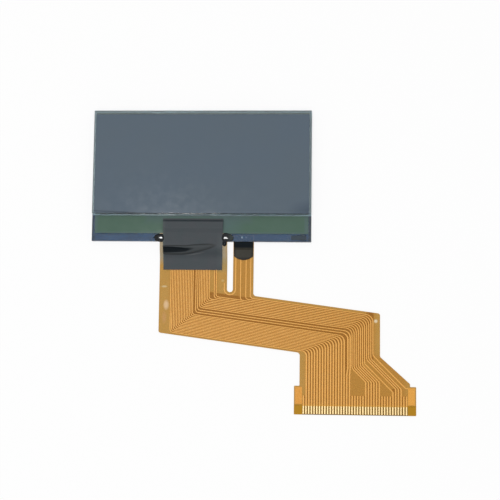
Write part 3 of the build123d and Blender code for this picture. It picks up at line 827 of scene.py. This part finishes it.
def rounded_plate(name, node, bevel_mm):
    """A glass plate on the box of its node, with rounded edges and a hair of air above and below."""
    low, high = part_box(node)
    gap = Vector((0, 0, clear_gap_mm * MM))
    low, high = low + gap, high - gap
    shape = bmesh.new()
    bmesh.ops.create_cube(shape, size=1.0)
    for vertex in shape.verts:
        for axis in range(3):
            vertex.co[axis] = high[axis] if vertex.co[axis] > 0 else low[axis]
    bmesh.ops.bevel(
        shape,
        geom=shape.edges[:],
        offset=bevel_mm * MM,
        segments=arris_steps,
        profile=0.5,
        affect="EDGES",
        clamp_overlap=True,
    )
    return piece_from(shape, name)


def lifted_copy(name, node, lift_mm):
    """A copy of a node's mesh with its doubled points merged, lifted by a given height."""
    shape = bmesh.new()
    shape.from_mesh(nodes[node].data)
    bmesh.ops.remove_doubles(shape, verts=shape.verts[:], dist=merge_reach_m)
    bmesh.ops.translate(shape, verts=shape.verts[:], vec=(0, 0, lift_mm * MM))
    return piece_from(shape, name)


def raised_mask_film(name, node):
    """The dark film behind the ledge, with its upper edge under the front glass."""
    piece = lifted_copy(name, node, 0.0)
    top = max(vertex.co.y for vertex in piece.data.vertices)
    for vertex in piece.data.vertices:
        if vertex.co.y > top - film_edge_mm * MM:
            vertex.co.y = mask_film_top_mm * MM
    return piece


def reaching_polarizer(name, node):
    """The front polarizer with its lower edge nearer to the glass edge."""
    piece = lifted_copy(name, node, 0.0)
    low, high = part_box(node)
    middle = (low.y + high.y) / 2
    for vertex in piece.data.vertices:
        if vertex.co.y < middle:
            vertex.co.y -= polarizer_reach_mm * MM
    return piece


def add_drop(shape, summit, reach_x, reach_y, height, flatness, lean):
    """A closed, flat-bottomed drop with a flattened, slightly leaning top."""
    levels = []
    for ring in range(1, drop_rings + 1):
        out = math.sin(math.pi / 2 * ring / drop_rings)
        line = []
        for side in range(drop_sides):
            turn = 2 * math.pi * side / drop_sides
            east, north = math.cos(turn), math.sin(turn)
            x = reach_x[1 if east > 0 else 0] * out * east
            y = reach_y[1 if north > 0 else 0] * out * north
            fall = out ** flatness[0] * east * east + out ** flatness[1] * north * north
            tilt = (lean[0] * x + lean[1] * y) * (1.0 - out**2)
            z = height * math.sqrt(max(0.0, 1.0 - fall)) + tilt
            line.append(shape.verts.new((Vector((x, y, z)) + Vector(summit)) * MM))
        levels.append(line)
    middle = shape.verts.new((Vector(summit) + Vector((0, 0, height))) * MM)
    bottom = shape.verts.new(Vector(summit) * MM)
    rim = levels[-1]
    for side in range(drop_sides):
        following = (side + 1) % drop_sides
        shape.faces.new((middle, levels[0][side], levels[0][following]))
        for inner, outer in zip(levels, levels[1:]):
            shape.faces.new((inner[side], outer[side], outer[following], inner[following]))
        shape.faces.new((bottom, rim[following], rim[side]))


def sealant_drops(name, drops):
    """One piece of sealant made of one or more drops."""
    shape = bmesh.new()
    for drop in drops:
        add_drop(shape, **drop)
    soften(shape)
    return piece_from(shape, name)


def tape_level(y):
    """Height of the tape's underside at a place along it."""
    for (y_near, z_near), (y_far, z_far) in zip(tape_path_mm, tape_path_mm[1:]):
        if y >= y_far:
            share = (y_near - y) / (y_near - y_far)
            return z_near + share * (z_far - z_near)
    y_top, z_top = tape_path_mm[-1]
    y_foot, z_foot = step_foot_mm
    if y <= y_foot:
        return z_foot
    share = (y_top - y) / (y_top - y_foot)
    turn = 2 * math.atan((z_top - z_foot) / (y_top - y_foot))
    radius = (y_top - y_foot) / (2 * math.sin(turn))
    run = min(share, 1 - share) * (y_top - y_foot)
    drop = radius - math.sqrt(radius * radius - run * run)
    return z_top - drop if share <= 0.5 else z_foot + drop


def inside_oval(x, y, centre, radii):
    """How far a place lies inside an oval that bends with the fold: 0 on its edge, 1 in its middle."""
    bent_y = y - max(0.0, x - fold_bend_from_mm) * fold_bend_slope
    away = math.hypot((x - centre[0]) / radii[0], (bent_y - centre[1]) / radii[1])
    return max(0.0, 1.0 - away)


def eased(share):
    """A soft step from 0 to 1."""
    share = min(1.0, max(0.0, share))
    return share * share * (3 - 2 * share)


def fold_lift(x, y):
    """How far the tape stands off the film at a place."""
    bulge = eased(inside_oval(x, y, fold_centre_mm, fold_radii_mm) / fold_shoulder)
    hollow = eased(inside_oval(x, y, wedge_centre_mm, wedge_radii_mm) / wedge_shoulder)
    return max(0.0, fold_height_mm * bulge - wedge_depth_mm * hollow)


def tape_ripple(x, y):
    """Small unevenness of the tape's upper face at a place."""
    return tape_ripple_mm * math.sin(1.9 * x + 0.7 * y) * math.sin(1.3 * y - 0.5 * x)


def creased_tape(name):
    """The tape as it lies, a closed sheet with a fold across the step."""
    columns = round((tape_right_mm - tape_left_mm) / tape_cell_mm)
    length = tape_path_mm[0][0] - tape_end_mm
    rows = round(length / tape_cell_mm)
    shape = bmesh.new()
    layers = []
    for upper in (False, True):
        grid = []
        for row in range(rows + 1):
            down = row / rows
            y = tape_path_mm[0][0] - down * length
            left = tape_left_mm + tape_left_taper_mm * down
            right = tape_right_mm - tape_right_taper_mm * down
            line = []
            for column in range(columns + 1):
                x = left + (right - left) * column / columns
                z = tape_level(y) + fold_lift(x, y) + tape_lift_mm
                if upper:
                    z += tape_thickness_mm + tape_ripple(x, y)
                line.append(shape.verts.new((x * MM, y * MM, z * MM)))
            grid.append(line)
        layers.append(grid)
    low, high = layers
    for row in range(rows):
        for column in range(columns):
            after = column + 1
            above, below = high[row], high[row + 1]
            shape.faces.new((above[column], below[column], below[after], above[after]))
            above, below = low[row], low[row + 1]
            shape.faces.new((above[column], above[after], below[after], below[column]))
    rims = [
        ([line[0] for line in low], [line[0] for line in high]),
        ([line[-1] for line in high], [line[-1] for line in low]),
        (high[0], low[0]),
        (low[-1], high[-1]),
    ]
    for first, second in rims:
        for index in range(len(first) - 1):
            shape.faces.new((first[index], first[index + 1], second[index + 1], second[index]))
    soften(shape)
    return piece_from(shape, name)


def contact_row_tree():
    """Geometry nodes that lay a row of plated bars with a slightly domed face."""
    tree = bpy.data.node_groups.new("plated_contact_row", "GeometryNodeTree")
    sockets = {}
    for label, kind in (
        ("Count", "NodeSocketInt"),
        ("Pitch", "NodeSocketFloat"),
        ("First", "NodeSocketVector"),
        ("Width", "NodeSocketFloat"),
        ("Length", "NodeSocketFloat"),
        ("Thickness", "NodeSocketFloat"),
        ("Crown", "NodeSocketFloat"),
        ("Finish", "NodeSocketMaterial"),
    ):
        socket = tree.interface.new_socket(label, in_out="INPUT", socket_type=kind)
        sockets[label] = socket.identifier
    tree.interface.new_socket("Geometry", in_out="OUTPUT", socket_type="NodeSocketGeometry")
    given = tree.nodes.new("NodeGroupInput").outputs
    sides = {0: given["Width"], 1: given["Length"], 2: given["Thickness"]}
    size = add(tree, "ShaderNodeCombineXYZ", sides).outputs[0]
    bar = add(tree, "GeometryNodeMeshCube", {"Size": size, "Vertices X": contact_lines_across})
    position = tree.nodes.new("GeometryNodeInputPosition").outputs[0]
    place = add(tree, "ShaderNodeSeparateXYZ", {0: position})
    across = reckon(tree, "DIVIDE", reckon(tree, "MULTIPLY", place.outputs[0], 2.0), given["Width"])
    dome = reckon(tree, "SUBTRACT", 1.0, reckon(tree, "MULTIPLY", across, across))
    upper = reckon(tree, "GREATER_THAN", place.outputs[2], 0.0)
    lift = reckon(tree, "MULTIPLY", reckon(tree, "MULTIPLY", dome, upper), given["Crown"])
    offset = add(tree, "ShaderNodeCombineXYZ", {2: lift}).outputs[0]
    domed = add(tree, "GeometryNodeSetPosition", {"Geometry": bar.outputs["Mesh"], "Offset": offset})
    step = add(tree, "ShaderNodeCombineXYZ", {0: given["Pitch"]}).outputs[0]
    line = {"Count": given["Count"], "Start Location": given["First"], "Offset": step}
    row = add(tree, "GeometryNodeMeshLine", line).outputs[0]
    laid = add(tree, "GeometryNodeInstanceOnPoints", {"Points": row, "Instance": domed.outputs[0]})
    real = add(tree, "GeometryNodeRealizeInstances", {"Geometry": laid.outputs[0]}).outputs[0]
    dressed = add(tree, "GeometryNodeSetMaterial", {"Geometry": real, "Material": given["Finish"]})
    end = tree.nodes.new("NodeGroupOutput")
    tree.links.new(dressed.outputs[0], end.inputs[0])
    return tree, sockets


def plated_contacts(name):
    """The row of contacts, laid out on the box of its node."""
    low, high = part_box("contact_plating")
    tree, sockets = contact_row_tree()
    maker = new_piece("contact_row_maker", bpy.data.meshes.new("contact_row_start"))
    modifier = maker.modifiers.new("contact_row", "NODES")
    modifier.node_group = tree
    width = contact_width_mm * MM
    first = (low.x + width / 2, (low.y + high.y) / 2, (low.z + high.z) / 2)
    values = {
        "Count": contact_count,
        "Pitch": (high.x - low.x - width) / (contact_count - 1),
        "First": first,
        "Width": width,
        "Length": high.y - low.y,
        "Thickness": high.z - low.z,
        "Crown": contact_crown_mm * MM,
        "Finish": finishes["contact"],
    }
    for label, value in values.items():
        modifier[sockets[label]] = value
    maker.update_tag()
    made = maker.evaluated_get(bpy.context.evaluated_depsgraph_get())
    mesh = bpy.data.meshes.new_from_object(made)
    maker.modifiers.clear()
    bpy.data.objects.remove(maker)
    mesh.name = name
    return new_piece(name, mesh)


for node_name in nodes:
    dress_node(node_name)

finish_piece(rounded_plate("rear_glass_plate", "rear_glass", glass_arris_mm), "glass", "rear_glass")
finish_piece(rounded_plate("front_glass_plate", "front_glass", glass_arris_mm), "glass", "front_glass")
finish_piece(lifted_copy("clear_cover_film", "cover_film", clear_gap_mm), "cover", "cover_film")
finish_piece(creased_tape("shield_tape"), "tape", "light_shield_tape")
finish_piece(raised_mask_film("mask_film", "ledge_mask_film"), "mask", "ledge_mask_film")
finish_piece(reaching_polarizer("polarizing_film", "front_polarizer"), "polarizer", "front_polarizer")
finish_piece(sealant_drops("left_sealant_drop", [left_drop]), "sealant", "bond_sealant_left")
finish_piece(sealant_drops("right_sealant_drop", [right_drop, right_run]), "sealant", "bond_sealant_right")
finish_piece(plated_contacts("plated_contacts"), "contact", "contact_plating")


def add_floor():
    """A plain white floor under the part, which keeps the part's shadow."""
    half = floor_size_mm * MM / 2
    level = cad_low.z - floor_drop_mm * MM
    mesh = bpy.data.meshes.new("floor")
    corners = [(-half, -half), (half, -half), (half, half), (-half, half)]
    mesh.from_pydata([(x, y, level) for x, y in corners], [], [(0, 1, 2, 3)])
    floor = new_piece("floor", mesh)
    material = bpy.data.materials.new("white_floor")
    material.use_nodes = True
    tree = material.node_tree
    tree.nodes.clear()
    seen = tree.nodes.new("ShaderNodeLightPath")
    lit = add(tree, "ShaderNodeBsdfDiffuse", {"Color": floor_colour})
    glow = add(tree, "ShaderNodeEmission", {"Color": (1, 1, 1, 1), "Strength": 1.0})
    share = reckon(tree, "MULTIPLY", seen.outputs["Is Camera Ray"], floor_glow_share)
    mix = add(tree, "ShaderNodeMixShader", {0: share, 1: lit.outputs[0], 2: glow.outputs[0]})
    output = tree.nodes.new("ShaderNodeOutputMaterial")
    tree.links.new(mix.outputs[0], output.inputs[0])
    mesh.materials.append(material)


def add_world():
    """Even white surroundings: plain light, and white to a camera, glossy or transmission ray."""
    world = bpy.data.worlds.new("white_room")
    bpy.context.scene.world = world
    world.use_nodes = True
    tree = world.node_tree
    tree.nodes.clear()
    path = tree.nodes.new("ShaderNodeLightPath")
    seen = reckon(tree, "MAXIMUM", path.outputs["Is Camera Ray"], path.outputs["Is Glossy Ray"])
    seen = reckon(tree, "MAXIMUM", seen, path.outputs["Is Transmission Ray"])
    strength = remap(tree, seen, (0.0, 1.0), (world_light, 1.0))
    white = add(tree, "ShaderNodeBackground", {"Color": (1, 1, 1, 1), "Strength": strength})
    output = tree.nodes.new("ShaderNodeOutputWorld")
    tree.links.new(white.outputs[0], output.inputs[0])


def add_key_light():
    """A softbox high over the part, a little to its left."""
    light = bpy.data.lights.new("key_softbox", "AREA")
    light.shape = "RECTANGLE"
    light.size = key_light_size_mm[0] * MM
    light.size_y = key_light_size_mm[1] * MM
    light.energy = key_light_watts
    lamp = bpy.data.objects.new("key_softbox", light)
    lamp.location = Vector(key_light_at_mm) * MM
    aim = Vector(key_light_aim_mm) * MM - lamp.location
    lamp.rotation_mode = "QUATERNION"
    lamp.rotation_quaternion = aim.to_track_quat("-Z", "Y")
    bpy.context.scene.collection.objects.link(lamp)


def add_camera():
    """The camera at the photograph's viewing angle."""
    data = bpy.data.cameras.new("photo_camera")
    data.lens = camera_lens_mm
    data.sensor_width = camera_sensor_mm
    data.clip_start = camera_sees_from_m
    data.clip_end = camera_sees_to_m
    camera = bpy.data.objects.new("photo_camera", data)
    camera.location = Vector(camera_at_mm) * MM
    camera.rotation_euler = [math.radians(angle) for angle in camera_turn_degrees]
    bpy.context.scene.collection.objects.link(camera)
    bpy.context.scene.camera = camera


add_floor()
add_world()
add_key_light()
add_camera()
bpy.context.scene.view_settings.view_transform = "Standard"
